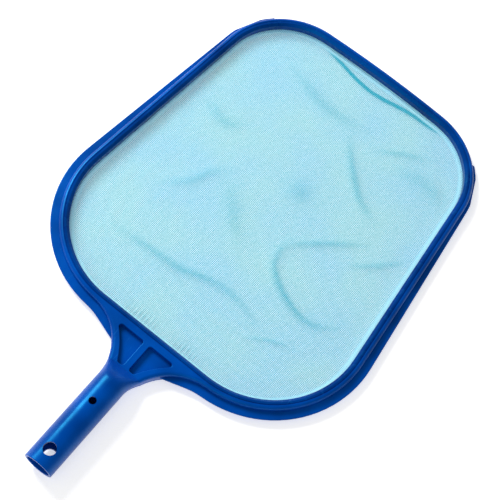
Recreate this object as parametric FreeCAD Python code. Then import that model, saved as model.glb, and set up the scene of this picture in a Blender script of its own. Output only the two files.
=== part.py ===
"""Leaf skimmer net: a moulded frame with its handle socket, a snap-in ring, a fine net and its hem cord.

Millimetres, +Z up and out of the net's open side, +Y from the handle towards the scooping edge, X across.
Every plan outline is a belt round four corner circles, so outlines that are a fixed distance apart share
their arc centres. Plan positions are first measured from the middle of the net opening's handle side, and
heights from the underside, where the rim and the shank both rest; TO_ORIGIN then moves each piece so that
the origin is the centre of the bounding box's bottom.
"""
import FreeCAD, Part
import math
import os

Vector = FreeCAD.Vector

# Net opening, at the ring's inner wall
FAR_CORNER = Vector(65.2, 280, 0)
FAR_CORNER_R = 67.4
NEAR_CORNER = Vector(57.6, 90, 0)
NEAR_CORNER_R = 89.5
FAR_BOW_R = 1226

# Rim, whose widths are measured outwards from the net opening
RIM_HEIGHT = 12.5
RIM_WIDTH = 9.6
RIM_TOP_ROUND = 3.5
RIM_FOOT_ROUND = 0.8
LEDGE_START = 0.4
LEDGE_HEIGHT = 4
SEAT_WIDTH = 5
SNAP_GROOVE_DEPTH = 0.35
SNAP_GROOVE_Z = (6.6, 8)
CHANNEL_WIDTHS = (2.3, 7.3)
CHANNEL_DEPTH = 2
SEAT_CHAMFER = 0.6

# Outward flange, widest round the handle end and cut off at a slant near the far corners
FLANGE_TOP = 7
FLANGE_THICKNESS = 2.2
FLANGE_FAR_WIDTH = 12.9
FLANGE_NEAR_WIDTH = 17.4
FLANGE_EDGE_ROUND = 0.9
FLANGE_END = (Vector(144.5, 295, 0), Vector(136.2, 315, 0))
FLANGE_NECK = Vector(22, -28.5, 0)
FLANGE_NECK_BLEND_R = 60

# Handle shank, which slides into a telescopic pole
SHANK_R = 14
SHANK_BORE_R = 11.5
MOUTH_Y = -150.5
BORE_END_Y = -64
MOUTH_ROUND = 0.6
CLIP_HOLES = ((-135.8, 5.8), (-83.4, 3.45))  # distance along Y and radius

# Neck between shank and rim
NECK_FLARE_R = 52.6
NECK_PLATE_END_Y = -42
NECK_START_Y = -61
NECK_STEPS = 8
NECK_INSET = 0.1
POCKET_INNER_X = 3.2
POCKET_NEAR_Y = -11.6
POCKET_FAR_Y = -40.5
POCKET_OUTER = (Vector(33, POCKET_NEAR_Y, 0), Vector(20, -24.2, 0), Vector(9, POCKET_FAR_Y, 0))
POCKET_DEPTH = 4.8
POCKET_CORNER_R = 2.4
POCKET_LIP_ROUND = 0.7

# Snap-in ring
RING_WIDTH = 4.8
RING_WALL = 1.5
RING_SLOPE = (2.3, 2.2)
RING_CREST_ROUND = 0.5
RING_SNAP = 0.3

# Net and hem cord
NET_THICKNESS = 0.5
NET_TUCK = 3.1
NET_BOWL = ((0, 0), (14, 1.8), (32, 3.1), (56, 3.6))  # distance in from the opening and depth
HEM_CORD_R = 0.75
HEM_CORD_OFFSET = 2.4

BOW_CENTRE = Vector(
    0, FAR_CORNER.y - math.sqrt((FAR_BOW_R - FAR_CORNER_R) ** 2 - FAR_CORNER.x**2), 0
)
FAR_Y = BOW_CENTRE.y + FAR_BOW_R + RIM_WIDTH
TO_ORIGIN = Vector(0, -(FAR_Y + MOUTH_Y) / 2, 0)


def mirrored(point):
    return Vector(-point.x, point.y, point.z)


def towards(centre, target):
    return (target - centre).normalize()


def arc_about(centre, radius, start, end):
    """The shorter arc between two points that lie on a circle."""
    middle = centre + towards(centre, (start + end) * 0.5) * radius
    return Part.Arc(start, middle, end).toShape()


def side_normal(far_r, near_r):
    """The outward direction of the side line that touches both right-hand corner circles."""
    between = FAR_CORNER - NEAR_CORNER
    angle = math.atan2(between.y, between.x) - math.acos((near_r - far_r) / between.Length)
    return Vector(math.cos(angle), math.sin(angle), 0)


def right_half(far_grow, near_grow):
    """The belt's right half from the far middle to its handle side: four points and three centres."""
    far_r = FAR_CORNER_R + far_grow
    near_r = NEAR_CORNER_R + near_grow
    normal = side_normal(far_r, near_r)
    return [
        FAR_CORNER + towards(BOW_CENTRE, FAR_CORNER) * far_r,
        FAR_CORNER + normal * far_r,
        NEAR_CORNER + normal * near_r,
        NEAR_CORNER + Vector(0, -near_r, 0),
    ]


def belt_edges(grow, near_grow=None):
    """Every edge of the belt but the one along the handle side, in order, from that edge's right end."""
    near_grow = grow if near_grow is None else near_grow
    bow_end, far_end, side_end, near_end = right_half(grow, near_grow)
    far_r = FAR_CORNER_R + grow
    near_r = NEAR_CORNER_R + near_grow
    right = [
        arc_about(NEAR_CORNER, near_r, near_end, side_end),
        Part.LineSegment(side_end, far_end).toShape(),
        arc_about(FAR_CORNER, far_r, far_end, bow_end),
    ]
    bow = arc_about(BOW_CENTRE, FAR_BOW_R + grow, bow_end, mirrored(bow_end))
    left = [
        arc_about(mirrored(FAR_CORNER), far_r, mirrored(bow_end), mirrored(far_end)),
        Part.LineSegment(mirrored(far_end), mirrored(side_end)).toShape(),
        arc_about(mirrored(NEAR_CORNER), near_r, mirrored(side_end), mirrored(near_end)),
    ]
    return right + [bow] + left, near_end


def belt(grow):
    """The closed outline this far outside the net opening, from the middle of its handle side."""
    edges, near_end = belt_edges(grow)
    middle = Vector(0, near_end.y, 0)
    first = Part.LineSegment(middle, near_end).toShape()
    last = Part.LineSegment(mirrored(near_end), middle).toShape()
    return Part.Wire([first] + edges + [last])


def prism(wire, low, high):
    face = Part.Face(wire)
    face.translate(Vector(0, 0, low))
    return face.extrude(Vector(0, 0, high - low))


def belt_prism(grow, low, high):
    return prism(belt(grow), low, high)


def polygon_prism(points, low, high):
    return prism(Part.makePolygon(points + [points[0]]), low, high)


def swept_round(profile):
    """Carries a closed profile of (distance out from the opening, height) points round the opening."""
    points = [Vector(0, -out, z) for out, z in profile]
    sweep = Part.BRepOffsetAPI.MakePipeShell(belt(0))
    sweep.setBiNormalMode(Vector(0, 0, 1))
    sweep.add(Part.makePolygon(points + [points[0]]))
    sweep.build()
    sweep.makeSolid()
    return sweep.shape()


def edges_where(shape, test):
    return [e for e in shape.Edges if test(e)]


def at_height(edge, z):
    return abs(edge.BoundBox.ZMin - z) < 1e-4 and abs(edge.BoundBox.ZMax - z) < 1e-4


def flare_centre():
    """The centre of the concave arc that joins the shank's side to the rim's corner."""
    x = SHANK_R + NECK_FLARE_R
    reach = NEAR_CORNER_R + RIM_WIDTH + NECK_FLARE_R
    return Vector(x, NEAR_CORNER.y - math.sqrt(reach**2 - (x - NEAR_CORNER.x) ** 2), 0)


def neck_half_width(y):
    centre = flare_centre()
    return centre.x - math.sqrt(NECK_FLARE_R**2 - (y - centre.y) ** 2)


def body_outline():
    """The rim's outer outline, with the neck running out of its handle side as far as the plate's end."""
    centre = flare_centre()
    joint = NEAR_CORNER + towards(NEAR_CORNER, centre) * (NEAR_CORNER_R + RIM_WIDTH)
    plate_end = Vector(neck_half_width(NECK_PLATE_END_Y), NECK_PLATE_END_Y, 0)
    edges, _ = belt_edges(RIM_WIDTH)
    side_end = right_half(RIM_WIDTH, RIM_WIDTH)[2]
    corner_r = NEAR_CORNER_R + RIM_WIDTH
    flare = arc_about(centre, NECK_FLARE_R, plate_end, joint)
    corner = arc_about(NEAR_CORNER, corner_r, joint, side_end)
    mirror_corner = arc_about(mirrored(NEAR_CORNER), corner_r, mirrored(side_end), mirrored(joint))
    mirror_flare = arc_about(mirrored(centre), NECK_FLARE_R, mirrored(joint), mirrored(plate_end))
    end = Part.LineSegment(mirrored(plate_end), plate_end).toShape()
    return Part.Wire([flare, corner] + edges[1:-1] + [mirror_corner, mirror_flare, end])


def rim_and_plate():
    """The rim and the flat part of the neck, with the rim's rounded outer edges."""
    body = prism(body_outline(), 0, RIM_HEIGHT)

    def outer(z):
        return edges_where(
            body,
            lambda e: at_height(e, z) and e.BoundBox.YMax > NECK_PLATE_END_Y + 1,
        )

    body = body.makeFillet(RIM_TOP_ROUND, outer(RIM_HEIGHT))
    body = body.makeFillet(RIM_FOOT_ROUND, outer(0))
    return body


def flange():
    """The flat lip on both sides and the handle end."""
    edges, near_end = belt_edges(FLANGE_FAR_WIDTH, FLANGE_NEAR_WIDTH)
    low = FLANGE_TOP - FLANGE_THICKNESS
    right = Part.LineSegment(FLANGE_NECK, near_end).toShape()
    left = Part.LineSegment(mirrored(near_end), mirrored(FLANGE_NECK)).toShape()
    across = Part.LineSegment(mirrored(FLANGE_NECK), FLANGE_NECK).toShape()
    lip = prism(Part.Wire([right] + edges + [left, across]), low, FLANGE_TOP)
    kinks = edges_where(
        lip,
        lambda e: e.BoundBox.ZLength > 1 and abs(e.BoundBox.YMax - near_end.y) < 0.01,
    )
    lip = lip.makeFillet(FLANGE_NECK_BLEND_R, kinks)
    start, stop = FLANGE_END
    slant = stop - start
    corners = [
        Vector(start.x + 30, -60, 0),
        start - slant * (30 / abs(slant.x)),
        stop + slant,
    ]
    keep = polygon_prism(corners + [mirrored(c) for c in reversed(corners)], low, FLANGE_TOP)
    lip = lip.common(keep)
    rounds = edges_where(
        lip,
        lambda e: (at_height(e, low) or at_height(e, FLANGE_TOP))
        and e.BoundBox.YMax < FAR_CORNER.y + 60
        and e.BoundBox.YMax > FLANGE_NECK.y + 1,
    )
    return lip.makeFillet(FLANGE_EDGE_ROUND, rounds)


def neck_section(y, half_width, low, high, top_round, foot_round):
    """A rounded rectangle across the neck."""
    corners = [
        (half_width, low, foot_round),
        (half_width, high, top_round),
        (-half_width, high, top_round),
        (-half_width, low, foot_round),
    ]
    arcs = []
    for x, z, r in corners:
        centre = Vector(x - math.copysign(r, x), y, z + r if z == low else z - r)
        side = Vector(x, y, centre.z)
        cap = Vector(centre.x, y, z)
        middle = centre + (Vector(x, y, z) - centre).normalize() * r
        starts_at_cap = (x > 0) == (z == low)
        arcs.append((cap, middle, side) if starts_at_cap else (side, middle, cap))
    edges = []
    for number, (start, middle, end) in enumerate(arcs):
        following = arcs[(number + 1) % 4][0]
        edges.append(Part.Arc(start, middle, end).toShape())
        edges.append(Part.LineSegment(end, following).toShape())
    return Part.Wire(edges)


def neck_blend():
    """The shoulder where the round shank flattens and widens into the neck's plate, just inside both."""
    sections = []
    for step in range(NECK_STEPS + 1):
        along = step / NECK_STEPS
        y = NECK_START_Y + along * (NECK_PLATE_END_Y - NECK_START_Y)
        ease = along * along * (1.6 - 0.6 * along)
        half_width = max(neck_half_width(max(y, flare_centre().y)), SHANK_R) - NECK_INSET
        top = 2 * SHANK_R + ease * (RIM_HEIGHT - 2 * SHANK_R) - NECK_INSET
        roundest = SHANK_R - 1.3 * NECK_INSET
        top_round = roundest + ease * (RIM_TOP_ROUND - roundest)
        foot_round = roundest + ease * (RIM_FOOT_ROUND - roundest)
        sections.append(neck_section(y, half_width, NECK_INSET, top, top_round, foot_round))
    return Part.makeLoft(sections, True, False)


def pocket(side, low, high):
    """One blind pocket beside the neck's centre rib, with rounded corners."""
    corners = [
        Vector(POCKET_INNER_X, POCKET_FAR_Y, 0),
        Vector(POCKET_INNER_X, POCKET_NEAR_Y, 0),
        *POCKET_OUTER,
    ]
    inner_far, inner_near, outer_near, outer_middle, outer_far = [
        c if side > 0 else mirrored(c) for c in corners
    ]
    wire = Part.Wire(
        [
            Part.LineSegment(inner_far, inner_near).toShape(),
            Part.LineSegment(inner_near, outer_near).toShape(),
            Part.Arc(outer_near, outer_middle, outer_far).toShape(),
            Part.LineSegment(outer_far, inner_far).toShape(),
        ]
    )
    hollow = prism(wire, low, high)
    upright = edges_where(hollow, lambda e: e.BoundBox.ZLength > 1)
    return hollow.makeFillet(POCKET_CORNER_R, upright)


def shank():
    start = Vector(0, MOUTH_Y, SHANK_R)
    along = Vector(0, 1, 0)
    return Part.makeCylinder(SHANK_R, NECK_START_Y - MOUTH_Y, start, along)


def shank_bore():
    start = Vector(0, MOUTH_Y, SHANK_R)
    along = Vector(0, 1, 0)
    return Part.makeCylinder(SHANK_BORE_R, BORE_END_Y - MOUTH_Y, start, along)


def clip_hole(y, radius):
    start = Vector(0, y, -1)
    return Part.makeCylinder(radius, 2 * SHANK_R + 2, start, Vector(0, 0, 1))


def skimmer_frame():
    """The one-piece moulding: rim, flange, neck and shank."""
    frame = rim_and_plate().fuse([flange(), neck_blend(), shank()])
    frame = frame.removeSplitter()
    inside = [
        belt_prism(LEDGE_START, -1, RIM_HEIGHT + 1),
        belt_prism(SEAT_WIDTH, LEDGE_HEIGHT, RIM_HEIGHT + 1),
        belt_prism(SEAT_WIDTH + SNAP_GROOVE_DEPTH, *SNAP_GROOVE_Z),
        belt_prism(CHANNEL_WIDTHS[1], -1, CHANNEL_DEPTH).cut(
            belt_prism(CHANNEL_WIDTHS[0], -1, CHANNEL_DEPTH)
        ),
        swept_round(
            [
                (SEAT_WIDTH - SEAT_CHAMFER, RIM_HEIGHT - 2 * SEAT_CHAMFER),
                (SEAT_WIDTH + 2 * SEAT_CHAMFER, RIM_HEIGHT + SEAT_CHAMFER),
                (SEAT_WIDTH - SEAT_CHAMFER, RIM_HEIGHT + SEAT_CHAMFER),
            ]
        ),
        shank_bore(),
    ]
    for side in (-1, 1):
        inside.append(pocket(side, RIM_HEIGHT - POCKET_DEPTH, RIM_HEIGHT + 1))
        inside.append(pocket(side, -1, POCKET_DEPTH))
    for y, radius in CLIP_HOLES:
        inside.append(clip_hole(y, radius))
    frame = frame.cut(inside)
    lips = edges_where(
        frame,
        lambda e: at_height(e, RIM_HEIGHT)
        and e.BoundBox.YMin > POCKET_FAR_Y - 0.01
        and e.BoundBox.YMax < POCKET_NEAR_Y + 0.01
        and e.BoundBox.XLength < POCKET_OUTER[0].x,
    )
    frame = frame.makeFillet(POCKET_LIP_ROUND, lips)
    mouth = edges_where(frame, lambda e: e.BoundBox.YMax < MOUTH_Y + 0.01)
    return frame.makeFillet(MOUTH_ROUND, mouth)


def ring_profile():
    """An inverted channel: inner wall, sloped lip, flat crown and a snapping outer wall."""
    foot = LEDGE_HEIGHT + NET_THICKNESS
    slope_out, slope_up = RING_SLOPE
    crown = RIM_HEIGHT
    snap_low, snap_high = SNAP_GROOVE_Z
    middle = (snap_low + snap_high) / 2
    under = crown - 2.2
    return [
        (0, foot),
        (0, crown - slope_up),
        (slope_out, crown - 0.15),
        (slope_out + RING_CREST_ROUND, crown),
        (RING_WIDTH - RING_CREST_ROUND, crown),
        (RING_WIDTH, crown - RING_CREST_ROUND),
        (RING_WIDTH, snap_high - 0.2),
        (RING_WIDTH + RING_SNAP, middle),
        (RING_WIDTH, snap_low + 0.2),
        (RING_WIDTH, foot + 0.5),
        (RING_WIDTH - RING_WALL, foot + 0.5),
        (RING_WIDTH - RING_WALL, under),
        (RING_WALL, under),
        (RING_WALL, foot),
    ]


def retaining_ring():
    return swept_round(ring_profile())


def bowl_solid(lift):
    """The space above the net's outer surface, down from the ledge's height."""
    wires = []
    for inset, depth in NET_BOWL:
        wire = belt(-inset)
        wire.translate(Vector(0, 0, LEDGE_HEIGHT - depth + lift))
        wires.append(wire)
    return Part.makeLoft(wires, True, False)


def net_mesh():
    """The sagging net as a thin closed shell, with its flat edge clamped below the ring."""
    band = belt_prism(NET_TUCK, LEDGE_HEIGHT, LEDGE_HEIGHT + NET_THICKNESS)
    band = band.cut(belt_prism(0, LEDGE_HEIGHT, LEDGE_HEIGHT + NET_THICKNESS))
    plug = belt_prism(0, LEDGE_HEIGHT, LEDGE_HEIGHT + NET_THICKNESS)
    shell = bowl_solid(0).fuse(plug).cut(bowl_solid(NET_THICKNESS))
    return band.fuse(shell).removeSplitter()


def hem_cord():
    """The cord in the net's hem, lying on the net in the ring's channel."""
    z = LEDGE_HEIGHT + NET_THICKNESS + HEM_CORD_R
    start = Vector(0, -HEM_CORD_OFFSET, z)
    path = belt(HEM_CORD_OFFSET)
    path.translate(Vector(0, 0, z))
    circle = Part.Wire(Part.makeCircle(HEM_CORD_R, start, Vector(1, 0, 0)))
    sweep = Part.BRepOffsetAPI.MakePipeShell(path)
    sweep.setBiNormalMode(Vector(0, 0, 1))
    sweep.add(circle)
    sweep.build()
    sweep.makeSolid()
    return sweep.shape()


def main():
    os.makedirs("parts", exist_ok=True)
    pieces = {
        "skimmer_frame": skimmer_frame(),
        "retaining_ring": retaining_ring(),
        "net_mesh": net_mesh(),
        "hem_cord": hem_cord(),
    }
    for name, shape in pieces.items():
        shape.translate(TO_ORIGIN)
        box = shape.BoundBox
        print(name, shape.isValid(), len(shape.Solids), round(shape.Volume / 1000, 2), "cm3", box)
        shape.exportStep("parts/" + name + ".step")


main()
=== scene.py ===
"""Looks of the leaf skimmer net: moulded blue plastic, and a fine slack net that lies on the ground."""

import math

import bpy
import numpy as np
from mathutils import Matrix, Vector
from mathutils.geometry import delaunay_2d_cdt


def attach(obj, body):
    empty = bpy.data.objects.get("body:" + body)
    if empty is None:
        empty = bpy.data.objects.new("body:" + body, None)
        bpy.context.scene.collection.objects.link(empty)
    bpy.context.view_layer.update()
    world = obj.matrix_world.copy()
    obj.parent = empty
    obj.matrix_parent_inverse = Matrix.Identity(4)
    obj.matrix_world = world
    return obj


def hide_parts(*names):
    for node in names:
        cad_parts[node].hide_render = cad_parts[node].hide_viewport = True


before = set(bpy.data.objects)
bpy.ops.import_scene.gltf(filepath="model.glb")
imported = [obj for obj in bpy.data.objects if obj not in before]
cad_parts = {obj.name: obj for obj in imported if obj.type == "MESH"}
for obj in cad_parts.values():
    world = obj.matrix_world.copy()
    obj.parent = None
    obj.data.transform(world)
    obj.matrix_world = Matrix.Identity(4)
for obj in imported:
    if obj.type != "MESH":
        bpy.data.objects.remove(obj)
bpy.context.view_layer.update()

# ---------------------------------------------------------------- camera, floor and light

CAMERA_AT = Vector((0.1582, -0.4047, 0.9670))
CAMERA_BACK = Vector((0.1376, -0.3969, 0.9075)).normalized()
CAMERA_RIGHT = Vector((0.7817, 0.6062, 0.1466)).normalized()
CAMERA_LENS = 83.92
CAMERA_SENSOR = 36
CAMERA_NEAREST = 0.01
KEY_AT = Vector((-1.4, 0.38, 1.15))
KEY_POWER = 33
KEY_SIZE = 0.75
FILL_AT = Vector((0.2, -1.4, 1.2))
FILL_POWER = 5
FILL_SIZE = 1.2
WORLD_STRENGTH = 0.36
FLOOR_HALF = 4.0
FLOOR_Z = -0.0003
FLOOR_GREY = 0.92
FLOOR_GLOW = 0.5


def add_object(name, data):
    made = bpy.data.objects.new(name, data)
    bpy.context.scene.collection.objects.link(made)
    return made


def flat_rectangle(name, half_x, half_y, z):
    corners = [(-half_x, -half_y, 0), (half_x, -half_y, 0), (half_x, half_y, 0), (-half_x, half_y, 0)]
    mesh = bpy.data.meshes.new(name)
    mesh.from_pydata(corners, [], [(0, 1, 2, 3)])
    made = add_object(name, mesh)
    made.location.z = z
    return made


def make_camera():
    camera = add_object("camera", bpy.data.cameras.new("camera"))
    camera.data.lens = CAMERA_LENS
    camera.data.sensor_width = CAMERA_SENSOR
    camera.data.clip_start = CAMERA_NEAREST
    up = CAMERA_BACK.cross(CAMERA_RIGHT)
    axes = Matrix((CAMERA_RIGHT, up, CAMERA_BACK)).transposed()
    camera.matrix_world = Matrix.Translation(CAMERA_AT) @ axes.to_4x4()
    bpy.context.scene.camera = camera


def make_light(name, place, power, size):
    """A round lamp that faces the middle of the object."""
    data = bpy.data.lights.new(name, "AREA")
    data.shape = "DISK"
    data.size = size
    data.energy = power
    lamp = add_object(name, data)
    lamp.location = place
    lamp.rotation_euler = place.to_track_quat("Z", "Y").to_euler()


def make_stage():
    """A pale floor that glows slightly, a large key light, a weak fill and a white surround."""
    world = bpy.data.worlds.new("studio")
    bpy.context.scene.world = world
    world.use_nodes = True
    background = world.node_tree.nodes["Background"]
    background.inputs["Color"].default_value = (1, 1, 1, 1)
    background.inputs["Strength"].default_value = WORLD_STRENGTH
    make_light("key", KEY_AT, KEY_POWER, KEY_SIZE)
    make_light("fill", FILL_AT, FILL_POWER, FILL_SIZE)
    floor = flat_rectangle("floor", FLOOR_HALF, FLOOR_HALF, FLOOR_Z)
    paper, tree, shader = new_material("pale_paper")
    look = {
        "Base Color": (FLOOR_GREY, FLOOR_GREY, FLOOR_GREY, 1),
        "Roughness": 0.9,
        "Specular IOR Level": 0.1,
        "Emission Color": (1, 1, 1, 1),
        "Emission Strength": FLOOR_GLOW,
    }
    set_inputs(tree, shader, look)
    floor.data.materials.append(paper)
    bpy.context.scene.view_settings.view_transform = "Standard"


# ---------------------------------------------------------------- building blocks for materials


def new_material(name):
    material = bpy.data.materials.new(name)
    material.use_nodes = True
    return material, material.node_tree, material.node_tree.nodes["Principled BSDF"]


def set_inputs(tree, node, inputs):
    """Links each input that is given a socket, and sets each that is given a value."""
    for name, value in inputs.items():
        if isinstance(value, bpy.types.NodeSocket):
            tree.links.new(value, node.inputs[name])
        else:
            node.inputs[name].default_value = value


def add_node(tree, kind, inputs=None, **values):
    """Adds a node, sets its properties, and sets or links its inputs."""
    node = tree.nodes.new("ShaderNode" + kind)
    for name, value in values.items():
        setattr(node, name, value)
    set_inputs(tree, node, inputs or {})
    return node


def math_node(tree, operation, first, second):
    return add_node(tree, "Math", {0: first, 1: second}, operation=operation).outputs[0]


def ramp(tree, value, low, high, to_low=0.0, to_high=1.0):
    """Maps a value from one range to another, without going past its ends."""
    inputs = {"Value": value, "From Min": low, "From Max": high, "To Min": to_low, "To Max": to_high}
    return add_node(tree, "MapRange", inputs).outputs[0]


def noise(tree, place, scale, detail=2.0, output="Fac"):
    return add_node(tree, "TexNoise", {"Vector": place, "Scale": scale, "Detail": detail}).outputs[output]


def mix_colour(tree, share, first, second):
    inputs = {"Factor": share, 6: first, 7: second}
    return add_node(tree, "Mix", inputs, data_type="RGBA").outputs[2]


def bump(tree, height, strength, distance, over=None):
    """Relief of this height, laid over another relief if one is given."""
    inputs = {"Height": height, "Strength": strength, "Distance": distance}
    if over is not None:
        inputs["Normal"] = over
    return add_node(tree, "Bump", inputs).outputs[0]


# ---------------------------------------------------------------- plastic of the frame and the ring

FRAME_DEEP = (0.0, 0.036, 0.27, 1)
FRAME_LIGHT = (0.0, 0.066, 0.42, 1)
FRAME_ROUGHNESS = 0.28
# The ring is the frame's blue plastic painted darker: painted shade for its inner wall, which faces away from
# the key light.
RING_DEEP_PAINTED_SHADE = (0.0, 0.020, 0.17, 1)
RING_LIGHT_PAINTED_SHADE = (0.0, 0.040, 0.27, 1)
RING_ROUGHNESS = 0.20
PLASTIC_SHEEN = (0.0, 0.6, 1.0, 1)
PLASTIC_SCUFF = (0.02, 0.16, 0.55, 1)

# How fine each pattern is, as features in a metre
FLOW_SCALE = 26.0
RIPPLE_SCALE = 90.0
GRAIN_SCALE = 1500.0
SCUFF_SCALES = (1100.0, 60.0, 700.0)


def moulded_plastic(name, roughness, deep, light):
    """Glossy blue polypropylene: flow marks in its colour, fine grain, and faint scuffs along its length."""
    material, tree, shader = new_material(name)
    place = add_node(tree, "TexCoord").outputs["Object"]
    flow = noise(tree, place, FLOW_SCALE)
    grain = noise(tree, place, GRAIN_SCALE)
    ripple = noise(tree, place, RIPPLE_SCALE)
    stretched = add_node(tree, "Mapping", {"Vector": place, "Scale": SCUFF_SCALES}).outputs[0]
    scuffs = ramp(tree, noise(tree, stretched, 1.0, 4.0), 0.66, 0.76)
    body = mix_colour(tree, ramp(tree, flow, 0.35, 0.65), deep, light)
    worn = math_node(tree, "MULTIPLY", scuffs, 0.18)
    even = ramp(tree, ripple, 0.3, 0.7, roughness, roughness + 0.1)
    wavy = bump(tree, ripple, 0.25, 0.0006)
    look = {
        "Base Color": mix_colour(tree, math_node(tree, "MULTIPLY", scuffs, 0.35), body, PLASTIC_SCUFF),
        "Roughness": math_node(tree, "ADD", even, worn),
        "IOR": 1.49,
        "Specular IOR Level": 0.55,
        "Specular Tint": PLASTIC_SHEEN,
        "Normal": bump(tree, grain, 0.12, 0.00008, over=wavy),
    }
    set_inputs(tree, shader, look)
    return material


# ---------------------------------------------------------------- cloth of the net

NET_PITCH = 0.0014
NET_PALE_GREEN = (0.14, 0.50, 0.58, 1)
NET_PALE_BLUE = (0.10, 0.47, 0.62, 1)
# Deeper cyan for folds and gathers: partly the doubled cloth, partly painted shade in the creases.
NET_DOUBLED_AND_FOLD_SHADE = (0.0, 0.40, 0.52, 1)
# Paler colour of the hem band: partly denser hem cloth, partly a painted highlight along the net's edge.
NET_HEM_AND_HIGHLIGHT = (0.45, 0.92, 1.0, 1)

# The hem's cloth starts this far in from the opening, and is full where the second distance is reached
HEM_START = 0.0046
HEM_FULL = 0.0022
HEM_DOUBLING = 0.8

# A thread's half width as a share of the pitch, in single and in doubled cloth, and how much it varies
THREAD_SINGLE = 0.155
THREAD_DOUBLED = 0.34
THREAD_VARIES = 0.012
THREAD_EDGE = 0.04
THREAD_WOBBLE = (0.0003, 0.0003, 0.0)
WOBBLE_SCALE = 190.0
UNEVEN_SCALE = 260.0
PATCH_SCALE = 14.0

# How much of the light each hole stops, and how much of a thread's light comes through it
HOLE_HAZE = 0.28
THREAD_GLOW = 0.45


def net_cloth():
    """Fine woven mesh: square holes between pale cyan threads, closer where the cloth doubles, and a deeper
    cyan there that is partly doubled cloth and partly painted shade in the folds.
    """
    material, tree, shader = new_material("net_cloth")
    flat = add_node(tree, "UVMap", uv_map="weave").outputs[0]
    folded = add_node(tree, "Attribute", attribute_name="folded").outputs["Fac"]
    from_edge = add_node(tree, "Attribute", attribute_name="from_edge").outputs["Fac"]
    patches = ramp(tree, noise(tree, flat, PATCH_SCALE), 0.38, 0.62)
    uneven = noise(tree, flat, UNEVEN_SCALE)
    hem = ramp(tree, from_edge, HEM_START, HEM_FULL)
    doubled = math_node(tree, "MAXIMUM", folded, math_node(tree, "MULTIPLY", hem, HEM_DOUBLING))
    even_width = ramp(tree, doubled, 0.0, 1.0, THREAD_SINGLE, THREAD_DOUBLED)
    width_change = ramp(tree, uneven, 0.3, 0.7, -THREAD_VARIES, THREAD_VARIES)
    cover = math_node(tree, "ADD", even_width, width_change)
    wobble = noise(tree, flat, WOBBLE_SCALE, 1.0, "Color")
    shift = add_node(tree, "VectorMath", {0: wobble, 1: THREAD_WOBBLE}, operation="MULTIPLY").outputs[0]
    moved = add_node(tree, "VectorMath", {0: flat, 1: shift}, operation="ADD").outputs[0]
    axes = add_node(tree, "SeparateXYZ", {0: moved})
    threads = []
    for axis in (0, 1):
        turns = math_node(tree, "DIVIDE", axes.outputs[axis], NET_PITCH)
        away = math_node(tree, "PINGPONG", turns, 0.5)
        threads.append(math_node(tree, "SUBTRACT", cover, away))
    nearest = math_node(tree, "MAXIMUM", *threads)
    solid = ramp(tree, nearest, -THREAD_EDGE, THREAD_EDGE, HOLE_HAZE, 1.0)
    pale = mix_colour(tree, patches, NET_PALE_GREEN, NET_PALE_BLUE)
    # Folds and gathers turn deeper cyan, partly doubled cloth and partly painted crease shade.
    creased_and_fold_shaded = mix_colour(tree, folded, pale, NET_DOUBLED_AND_FOLD_SHADE)
    # The hem band is painted paler, partly denser hem cloth and partly a painted highlight along the edge.
    colour = mix_colour(tree, hem, creased_and_fold_shaded, NET_HEM_AND_HIGHLIGHT)
    look = {
        "Base Color": colour,
        "Roughness": ramp(tree, uneven, 0.3, 0.7, 0.38, 0.55),
        "Normal": bump(tree, nearest, 0.3, 0.0001),
    }
    set_inputs(tree, shader, look)
    glow = add_node(tree, "BsdfTranslucent", {"Color": colour}).outputs[0]
    fibre = add_node(tree, "MixShader", {0: THREAD_GLOW, 1: shader.outputs[0], 2: glow}).outputs[0]
    hole = add_node(tree, "BsdfTransparent").outputs[0]
    surface = add_node(tree, "MixShader", {0: solid, 1: hole, 2: fibre}).outputs[0]
    set_inputs(tree, tree.nodes["Material Output"], {"Surface": surface})
    return material


# ---------------------------------------------------------------- fibre of the hem cord

CORD_CLEAN = (0.72, 0.80, 0.82, 1)
CORD_STAINED = (0.50, 0.66, 0.70, 1)
CORD_FIBRE_SCALE = 2200.0
CORD_STAIN_SCALE = 60.0


def cord_fibre():
    """White polyester cord, fibrous and a little stained by the water."""
    material, tree, shader = new_material("cord_polyester")
    place = add_node(tree, "TexCoord").outputs["Object"]
    fibres = noise(tree, place, CORD_FIBRE_SCALE, 3.0)
    stained = ramp(tree, noise(tree, place, CORD_STAIN_SCALE), 0.4, 0.7)
    look = {
        "Base Color": mix_colour(tree, stained, CORD_CLEAN, CORD_STAINED),
        "Roughness": ramp(tree, fibres, 0.3, 0.7, 0.6, 0.85),
        "Normal": bump(tree, fibres, 0.4, 0.0001),
    }
    set_inputs(tree, shader, look)
    return material


# ---------------------------------------------------------------- outlines

# The net opening is a belt round four corner circles, in metres
FAR_CORNER = (0.0652, 0.1758)
FAR_CORNER_R = 0.0674
NEAR_CORNER = (0.0576, -0.0142)
NEAR_CORNER_R = 0.0895
FAR_BOW_R = 1.226

# Farther than any place on the object
FAR_AWAY = 1e9


def on_circle(centre, radius, angle):
    return (centre[0] + radius * math.cos(angle), centre[1] + radius * math.sin(angle))


def arc_points(centre, radius, start, end, step):
    """Points along an arc, about a step apart, without its last point."""
    count = max(2, math.ceil(abs(end - start) * radius / step))
    return [on_circle(centre, radius, start + (end - start) * i / count) for i in range(count)]


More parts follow.
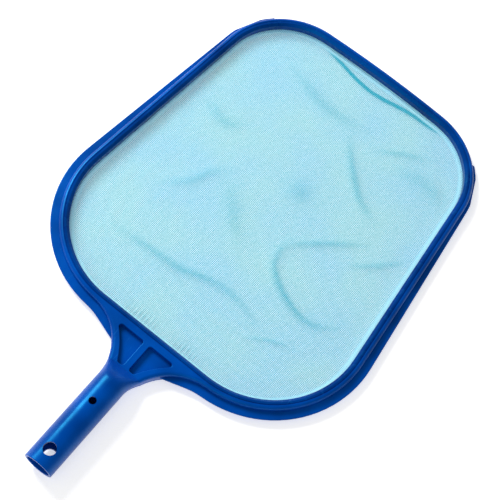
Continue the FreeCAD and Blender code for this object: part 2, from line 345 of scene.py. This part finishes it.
def belt_points(grow, step):
    """The outline this far outside the net opening, counter-clockwise from the handle side's middle."""
    far_r = FAR_CORNER_R + grow
    near_r = NEAR_CORNER_R + grow
    bow_r = FAR_BOW_R + grow
    across = FAR_CORNER[0] - NEAR_CORNER[0]
    along = FAR_CORNER[1] - NEAR_CORNER[1]
    side = math.atan2(along, across) - math.acos((near_r - far_r) / math.hypot(across, along))
    bow_y = FAR_CORNER[1] - math.sqrt((FAR_BOW_R - FAR_CORNER_R) ** 2 - FAR_CORNER[0] ** 2)
    bow = math.atan2(FAR_CORNER[1] - bow_y, FAR_CORNER[0])
    runs = max(1, round(NEAR_CORNER[0] / step))
    right = [(NEAR_CORNER[0] * i / runs, NEAR_CORNER[1] - near_r) for i in range(runs)]
    right += arc_points(NEAR_CORNER, near_r, -math.pi / 2, side, step)
    side_start = np.array(on_circle(NEAR_CORNER, near_r, side))
    side_end = np.array(on_circle(FAR_CORNER, far_r, side))
    runs = round(math.dist(side_start, side_end) / step)
    right += [tuple(side_start + (side_end - side_start) * i / runs) for i in range(runs)]
    right += arc_points(FAR_CORNER, far_r, side, bow, step)
    right += arc_points((0, bow_y), bow_r, bow, math.pi / 2, step)
    top = (0, bow_y + bow_r)
    left = [(-x, y) for x, y in reversed(right[1:])]
    return np.array(right + [top] + left)


def gap_to_run(points, start, end):
    """How far each point is from a straight run, and what share of the run lies before its nearest place."""
    run = end - start
    share = np.clip(((points - start) @ run) / (run @ run), 0, 1)
    return np.hypot(*(points - start - share[:, None] * run).T), share


def distance_inside(points, outline):
    """How far each point lies inside the outline, negative outside it."""
    best = np.full(len(points), FAR_AWAY)
    inside = np.zeros(len(points), dtype=bool)
    for start, end in zip(outline, np.roll(outline, -1, axis=0)):
        best = np.minimum(best, gap_to_run(points, start, end)[0])
        run = end - start
        crosses = (start[1] > points[:, 1]) != (end[1] > points[:, 1])
        if abs(run[1]) > 1e-12:
            inside ^= crosses & (points[:, 0] < start[0] + (points[:, 1] - start[1]) * run[0] / run[1])
    return np.where(inside, best, -best)


def smooth_line(points, per_run=8):
    """A rounded line that passes through the points."""
    p = np.array([points[0], *points, points[-1]])
    line = []
    for i in range(1, len(p) - 2):
        linear = p[i + 1] - p[i - 1]
        square = 2 * p[i - 1] - 5 * p[i] + 4 * p[i + 1] - p[i + 2]
        cubic = 3 * p[i] - p[i - 1] - 3 * p[i + 1] + p[i + 2]
        for t in np.arange(per_run) / per_run:
            line.append(0.5 * (2 * p[i] + linear * t + square * t**2 + cubic * t**3))
    return np.array(line + [p[-2]])


# ---------------------------------------------------------------- shape of the net

# The sheet: its tuck under the ring, the height of its held edge, the heights it stays between, and its cells
NET_TUCK = 0.0031
NET_EDGE_Z = 0.00425
NET_LOW_Z = 0.0006
NET_HIGH_Z = 0.0058
NET_CELL = 0.0053

# How deep the net hangs before it settles: distance in from the opening and depth
NET_DEPTH = ((0, 0), (0.006, 0.0012), (0.014, 0.0021), (0.032, 0.0031), (0.056, 0.0035))

# Settling: the cloth's spare length, the band held by the ring, the ground below it, and the cloth itself
NET_SLACK = 0.003
HELD_BAND = 0.001
GROUND_HALF = (0.3, 0.4)
GROUND_Z = -0.0006
GROUND_SKIN = 0.0005
CLOTH_SKIN = 0.0006
CLOTH_FEEL = {
    "quality": 6,
    "mass": 0.05,
    "tension_stiffness": 12,
    "compression_stiffness": 12,
    "shear_stiffness": 5,
    "bending_stiffness": 0.02,
    "air_damping": 2,
    "pin_stiffness": 1,
}
SIM_FRAMES = 22

# Soft folds: points across the net in metres, height, half width, and how much the cloth doubles up there,
# which also sets its painted crease shade; 1 is fully doubled and more than 1 widens the doubled line
FOLDS = (
    (((-0.072, 0.243), (-0.045, 0.2385), (-0.020, 0.2335), (-0.003, 0.232), (0.014, 0.2335), (0.040, 0.238),
      (0.083, 0.239)), 0.0010, 0.0022, 2.4),
    (((0.012, 0.176), (0.022, 0.163), (0.039, 0.145), (0.060, 0.127), (0.084, 0.117)), 0.0018, 0.0055, 0.4),
    (((0.036, 0.052), (0.033, 0.037), (0.038, 0.020), (0.056, 0.006), (0.083, -0.004), (0.103, -0.002),
      (0.118, 0.009)), 0.0020, 0.0052, 0.5),
    (((0.034, 0.038), (0.041, 0.050), (0.062, 0.070), (0.092, 0.094)), 0.0014, 0.0045, 0.36),
    (((0.090, 0.064), (0.113, 0.085), (0.130, 0.105)), 0.0014, 0.0045, 0.3),
    (((0.040, 0.181), (0.063, 0.196), (0.086, 0.208)), 0.0012, 0.0048, 0.28),
    (((0.066, 0.178), (0.096, 0.183), (0.125, 0.175)), 0.0012, 0.0110, 0.2),
    (((-0.002, 0.098), (0.011, 0.096), (0.024, 0.093)), 0.0012, 0.0150, 0.25),
    (((-0.100, -0.046), (-0.073, -0.043), (-0.047, -0.041), (-0.024, -0.039), (-0.004, -0.032),
      (0.017, -0.028), (0.041, -0.030), (0.059, -0.037)), 0.0015, 0.0055, 0.38),
    (((-0.092, 0.018), (-0.075, 0.033), (-0.065, 0.054), (-0.053, 0.070)), 0.0013, 0.0060, 0.26),
    (((-0.045, 0.060), (-0.024, 0.037), (0.000, 0.018)), 0.0013, 0.0110, 0.22),
    (((0.060, -0.052), (0.074, -0.043), (0.086, -0.037), (0.100, -0.034)), 0.0012, 0.0030, 0.3),
    (((-0.075, 0.201), (-0.038, 0.189), (-0.012, 0.187), (0.018, 0.192)), 0.0012, 0.0090, 0.25),
    (((-0.114, 0.115), (-0.089, 0.106), (-0.071, 0.118)), 0.0011, 0.0080, 0.25),
)

# A fold fades over its ends, its doubled line is narrower than the fold, and all folds fade near the ring
FOLD_END = 0.04
FOLD_TAPER = 0.7
FOLD_CORE = 0.7
FOLD_FADE = 0.006

# Gathers along the handle side: distance across and spread, then their height, pitch, reach and doubling
PUCKERS = ((-0.021, 0.016), (0.028, 0.014))
PUCKER_RISE = 0.0007
PUCKER_WIDTH = 0.0042
PUCKER_REACH = 0.007
PUCKER_SIDE_Y = -0.06
PUCKER_DOUBLING = 0.35

# The highest the net may stand rises from its held edge, over this run past this distance in
CEILING_START = 0.004
CEILING_RUN = 0.01
EDGE_BAND = 0.0005
OUTLINE_STEP = 0.004


def sag(inside):
    reach, depth = zip(*NET_DEPTH)
    return np.interp(inside, reach, depth)


def even_grid(low, high):
    """Points in rows, each row half a cell along from the last, so that they make even triangles."""
    grid = []
    row_step = NET_CELL * math.sqrt(3) / 2
    for row in range(int((high[1] - low[1]) / row_step) + 1):
        y = low[1] + row * row_step
        shift = 0.5 * NET_CELL * (row % 2)
        grid += [(x + shift, y) for x in np.arange(low[0], high[0], NET_CELL)]
    return np.array(grid)


def flat_net():
    """The cut net: its outline, tucked under the ring, filled with even triangles."""
    outline = belt_points(NET_TUCK, 0.9 * NET_CELL)
    grid = even_grid(outline.min(axis=0), outline.max(axis=0))
    grid = grid[distance_inside(grid, outline) > 0.6 * NET_CELL]
    points = np.vstack([outline, grid])
    count = len(outline)
    edges = [(i, (i + 1) % count) for i in range(count)]
    found = delaunay_2d_cdt([Vector(p) for p in points], edges, [list(range(count))], 1, 1e-7)
    places = np.array([tuple(v) for v in found[0]])
    faces = [tuple(f) for f in found[2]]
    inside = distance_inside(places, belt_points(0, NET_CELL))
    heights = NET_EDGE_Z - sag(inside)
    mesh = bpy.data.meshes.new("net")
    mesh.from_pydata([(x, y, z) for (x, y), z in zip(places, heights)], [], faces)
    weave = mesh.uv_layers.new(name="weave")
    corners = np.array([loop.vertex_index for loop in mesh.loops])
    weave.data.foreach_set("uv", places[corners].ravel())
    net = add_object("net", mesh)
    held = net.vertex_groups.new(name="held")
    held.add([int(i) for i in np.nonzero(inside < HELD_BAND)[0]], 1, "REPLACE")
    return net


def apply_modifiers(piece):
    """Keeps the shape that the modifiers give, and drops them."""
    graph = bpy.context.evaluated_depsgraph_get()
    shaped = bpy.data.meshes.new_from_object(piece.evaluated_get(graph))
    piece.modifiers.clear()
    piece.data = shaped


def settle(net):
    """Lets the slack net drop on the ground, where its spare cloth makes soft ripples."""
    ground = flat_rectangle("ground", *GROUND_HALF, GROUND_Z)
    ground.modifiers.new("collision", "COLLISION")
    ground.collision.thickness_outer = GROUND_SKIN
    cloth = net.modifiers.new("cloth", "CLOTH")
    for name, value in CLOTH_FEEL.items():
        setattr(cloth.settings, name, value)
    cloth.settings.shrink_min = -NET_SLACK
    cloth.settings.vertex_group_mass = "held"
    cloth.collision_settings.distance_min = CLOTH_SKIN
    cloth.point_cache.frame_end = SIM_FRAMES
    scene = bpy.context.scene
    for number in range(1, SIM_FRAMES + 1):
        scene.frame_set(number)
    apply_modifiers(net)
    scene.frame_set(1)
    bpy.data.objects.remove(ground)


def fold_fields(points):
    """The height that the folds add at each point, and how doubled the cloth is there."""
    height = np.zeros(len(points))
    doubled = np.zeros(len(points))
    for marks, rise, half_width, strength in FOLDS:
        line = smooth_line(marks)
        lengths = np.r_[0, np.cumsum(np.hypot(*np.diff(line, axis=0).T))]
        best = np.full(len(points), FAR_AWAY)
        place = np.zeros(len(points))
        for i in range(len(line) - 1):
            gap, share = gap_to_run(points, line[i], line[i + 1])
            nearer = gap < best
            best = np.where(nearer, gap, best)
            here = (lengths[i] + share * (lengths[i + 1] - lengths[i])) / lengths[-1]
            place = np.where(nearer, here, place)
        taper = np.sin(np.pi * np.clip(place, FOLD_END, 1 - FOLD_END)) ** FOLD_TAPER
        height += rise * (np.exp(-((best / half_width) ** 2)) * taper)
        core = np.exp(-((best / (FOLD_CORE * half_width)) ** 2))
        doubled = np.maximum(doubled, strength * core * taper)
    return height, doubled


def puckers(points, inside):
    """Short gathers across the near edge, where the hem pulls the cloth in."""
    height = np.zeros(len(points))
    for middle, spread in PUCKERS:
        along = points[:, 0] - middle
        near_edge = np.exp(-(((inside - PUCKER_REACH) / PUCKER_REACH) ** 2))
        envelope = np.exp(-((along / spread) ** 2)) * near_edge
        height += PUCKER_RISE * envelope * np.sin(2 * math.pi * along / PUCKER_WIDTH)
    return np.where(points[:, 1] < PUCKER_SIDE_Y, height, 0)


def add_field(mesh, name, values):
    field = mesh.attributes.new(name, "FLOAT", "POINT")
    field.data.foreach_set("value", values)


def shape_folds(net):
    """Adds the larger folds, keeps the net between the ground and the ring, and marks doubled cloth."""
    mesh = net.data
    places = np.empty(3 * len(mesh.vertices))
    mesh.vertices.foreach_get("co", places)
    places = places.reshape(-1, 3)
    inside = distance_inside(places[:, :2], belt_points(0, OUTLINE_STEP))
    height, doubled = fold_fields(places[:, :2])
    gathers = puckers(places[:, :2], inside)
    height += gathers
    doubled = np.maximum(doubled, PUCKER_DOUBLING * gathers / PUCKER_RISE)
    z = places[:, 2] + height * np.clip(inside / FOLD_FADE, 0, 1)
    room = NET_HIGH_Z - NET_EDGE_Z
    ceiling = NET_EDGE_Z + room * np.clip((inside - CEILING_START) / CEILING_RUN, 0, 1)
    places[:, 2] = np.where(inside > EDGE_BAND, np.clip(z, NET_LOW_Z, ceiling), NET_EDGE_Z)
    mesh.vertices.foreach_set("co", places.ravel())
    add_field(mesh, "folded", doubled)
    add_field(mesh, "from_edge", inside)
    mesh.shade_smooth()
    mesh.update()


def make_net():
    net = flat_net()
    settle(net)
    net.modifiers.new("rounding", "SUBSURF").levels = 2
    apply_modifiers(net)
    shape_folds(net)
    return net


# ---------------------------------------------------------------- shape of the hem cord

HEM_CORD_OUT = 0.0024
HEM_CORD_Z = 0.00525
HEM_CORD_STEP = 0.0005
STRAND_R = 0.00037
STRAND_COUNT = 3
STRAND_TURN = 0.005
STRAND_STEPS = 8
STRAND_SIDES = 6

# The strands press into each other, so they lie closer than touching circles would
STRAND_CLOSENESS = 0.93


def make_hem_cord():
    """A three-strand twisted cord that follows the net's edge in the ring's channel."""
    line = belt_points(HEM_CORD_OUT, HEM_CORD_STEP)
    around = np.r_[0, np.cumsum(np.hypot(*(np.roll(line, -1, axis=0) - line).T))]
    turns = round(around[-1] / STRAND_TURN)
    count = turns * STRAND_STEPS
    steps = np.arange(count) * around[-1] / count
    loop = np.vstack([line, line[:1]])
    centres = np.stack([np.interp(steps, around, loop[:, k]) for k in (0, 1)], axis=1)
    run = np.roll(centres, -1, axis=0) - np.roll(centres, 1, axis=0)
    run /= np.hypot(*run.T)[:, None]
    sideways = np.stack([run[:, 1], -run[:, 0], np.zeros(count)], axis=1)
    centres = np.column_stack([centres, np.full(count, HEM_CORD_Z)])
    upright = np.array([0.0, 0.0, 1.0])
    spread = STRAND_R / math.sin(math.pi / STRAND_COUNT) * STRAND_CLOSENESS
    points, faces = [], []
    for strand in range(STRAND_COUNT):
        angle = 2 * math.pi * (np.arange(count) / STRAND_STEPS + strand / STRAND_COUNT)
        middle = centres + spread * (
            np.cos(angle)[:, None] * sideways + np.sin(angle)[:, None] * upright
        )
        start = strand * STRAND_SIDES * count
        for side in range(STRAND_SIDES):
            turn = 2 * math.pi * side / STRAND_SIDES
            points.append(middle + STRAND_R * (math.cos(turn) * sideways + math.sin(turn) * upright))
            near = start + side * count
            far = start + (side + 1) % STRAND_SIDES * count
            for i in range(count):
                j = (i + 1) % count
                faces.append((near + i, near + j, far + j, far + i))
    mesh = bpy.data.meshes.new("hem_rope")
    mesh.from_pydata([tuple(p) for p in np.vstack(points)], [], faces)
    mesh.shade_smooth()
    return add_object("hem_rope", mesh)


# ---------------------------------------------------------------- the whole object


def wear(piece, material):
    """Puts the material on the piece, in its slot if it has one."""
    if piece.material_slots:
        piece.material_slots[0].material = material
    else:
        piece.data.materials.append(material)


make_camera()
make_stage()

net = make_net()
hem_rope = make_hem_cord()
frame_plastic = moulded_plastic("frame_plastic_blue", FRAME_ROUGHNESS, FRAME_DEEP, FRAME_LIGHT)
# The ring wears the darker colours, a painted shade for its inner wall.
shade_painted_ring_material = moulded_plastic("ring_blue_painted_shade", RING_ROUGHNESS, RING_DEEP_PAINTED_SHADE, RING_LIGHT_PAINTED_SHADE)
wear(net, net_cloth())
wear(hem_rope, cord_fibre())
wear(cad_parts["skimmer_frame"], frame_plastic)
wear(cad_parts["retaining_ring"], shade_painted_ring_material)

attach(net, "root")
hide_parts("net_mesh")
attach(hem_rope, "root")
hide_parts("hem_cord")
